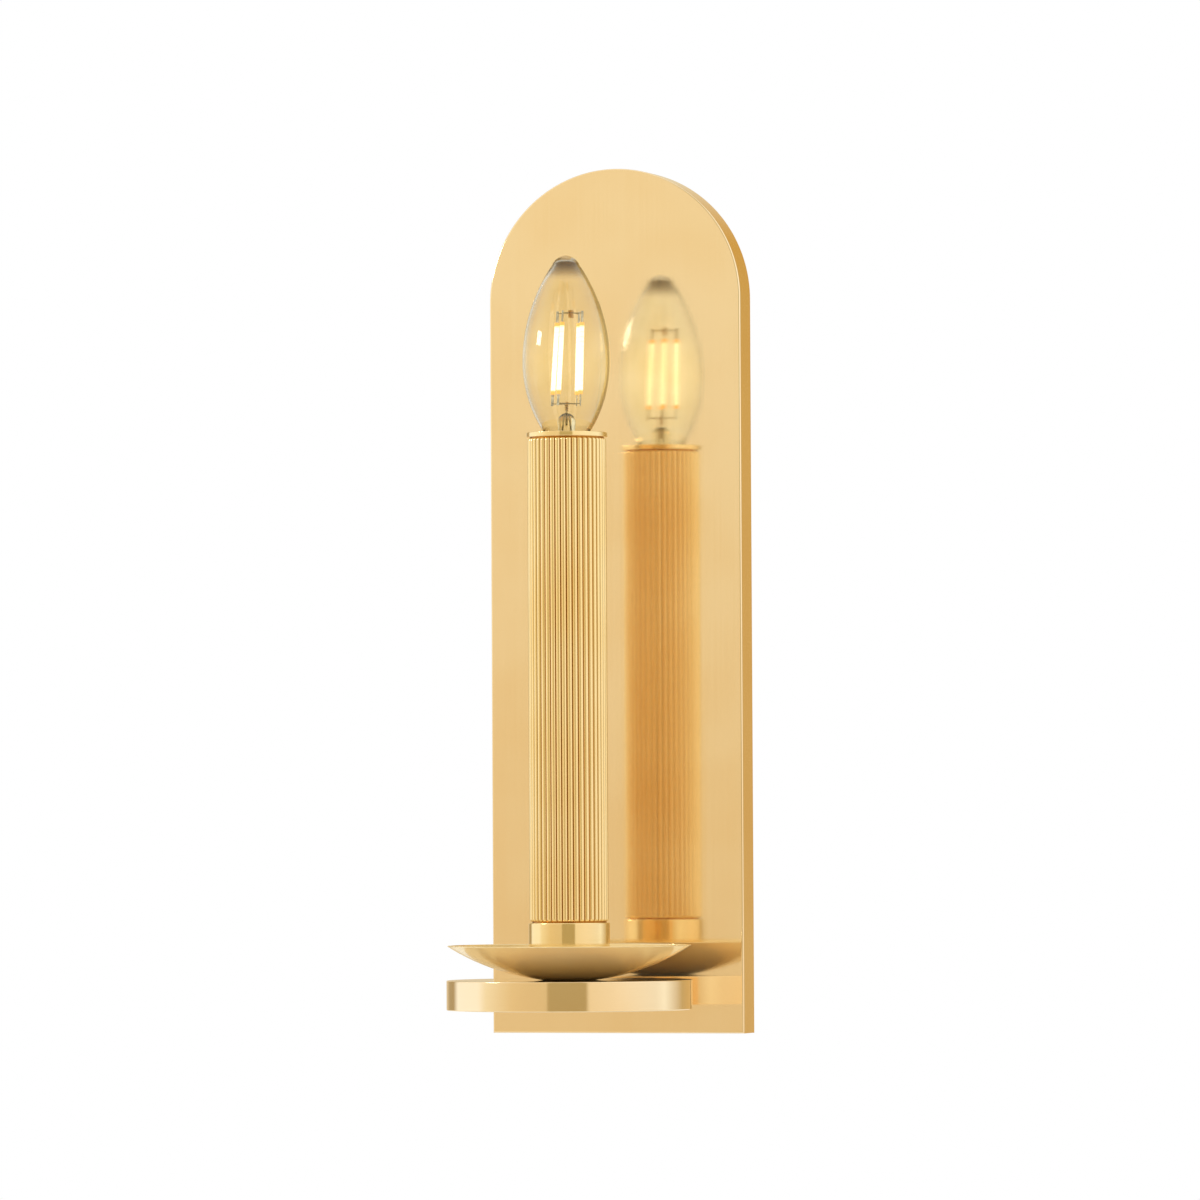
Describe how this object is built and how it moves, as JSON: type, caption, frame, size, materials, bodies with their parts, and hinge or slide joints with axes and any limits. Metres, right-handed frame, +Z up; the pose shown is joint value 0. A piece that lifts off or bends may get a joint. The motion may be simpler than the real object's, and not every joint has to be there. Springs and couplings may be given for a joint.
{
  "type": "electric wall sconce",
  "caption": "Wall sconce with an arched pan, a disc arm, a shallow dish and a reeded candle tube under a torpedo filament lamp.",
  "frame": {"origin": "centre of the wall box screw pattern, on the wall plane", "axes": "+Z up, +Y into the wall, +X to the right seen from the room"},
  "size_m": [0.1084, 0.1256, 0.3556],
  "materials": {
    "plate_brass": "satin brushed brass, lacquered, grain running up the pan",
    "turned_brass": "satin turned brass, fine rings round the axis",
    "reeded_brass": "satin brass, drawn along the reeds",
    "fitting_brass": "plain machined brass",
    "zinc_steel": "zinc-plated sheet steel",
    "ground_green": "green passivated earth screw",
    "connector_plastic": "moulded connector cap",
    "moulded_black": "moulded thermoset",
    "fibre_sleeve": "pressed fibre sleeve",
    "lead_black": "black wire insulation",
    "lead_white": "white wire insulation",
    "bare_copper": "bare copper wire",
    "clear_glass": "clear blown glass",
    "nickel_plate": "nickel-plated screw shell",
    "filament_phosphor": "phosphor-coated filament sticks, lit warm white",
    "nickel_wire": "thin nickel support wire"
  },
  "bodies": {
    "fixture": {"mounting_plate": "zinc_steel", "ground_screw": "ground_green", "wire_connectors": "connector_plastic", "back_plate": "plate_brass", "hanger": "zinc_steel", "arm_block": "plate_brass", "arm_nipple": "fitting_brass", "arm_washer": "zinc_steel", "arm_nut": "fitting_brass", "arm_disc": "turned_brass", "disc_cover": "turned_brass", "cover_screws": "fitting_brass", "stem_pipe": "fitting_brass", "stem_nut": "fitting_brass", "dish": "turned_brass", "cup": "turned_brass", "cup_washer": "zinc_steel", "cup_nut": "fitting_brass", "socket_bracket": "zinc_steel", "bracket_rivet": "zinc_steel", "socket_body": "moulded_black", "socket_shell": "fitting_brass", "socket_contact": "fitting_brass", "terminal_screws": "fitting_brass", "insulating_sleeve": "fibre_sleeve", "line_lead": "lead_black", "neutral_lead": "lead_white", "ground_lead": "bare_copper"},
    "candle": {"candle_tube": "reeded_brass", "tube_cap": "turned_brass"},
    "lamp": {"lamp_glass": "clear_glass", "lamp_base": "nickel_plate", "lamp_insulator": "moulded_black", "lamp_contact": "nickel_plate", "lamp_stem": "clear_glass", "lamp_filaments": "filament_phosphor", "lamp_supports": "nickel_wire"},
    "lock_screw_left": {"lock_screw_left": "plate_brass"},
    "lock_screw_right": {"lock_screw_right": "plate_brass"}
  },
  "joints": [
    {"name": "lamp_lift", "type": "slide", "parent": "fixture", "child": "lamp", "axis": [0, 0, 1], "range_m": [0, 0.032]},
    {"name": "candle_turn", "type": "hinge", "parent": "fixture", "child": "candle", "pos_m": [0, -0.076, -0.13], "axis": [0, 0, 1], "continuous": true},
    {"name": "lock_left_out", "type": "slide", "parent": "fixture", "child": "lock_screw_left", "axis": [0, 0, -1], "range_m": [0, 0.009]},
    {"name": "lock_right_out", "type": "slide", "parent": "fixture", "child": "lock_screw_right", "axis": [0, 0, -1], "range_m": [0, 0.009]}
  ]
}
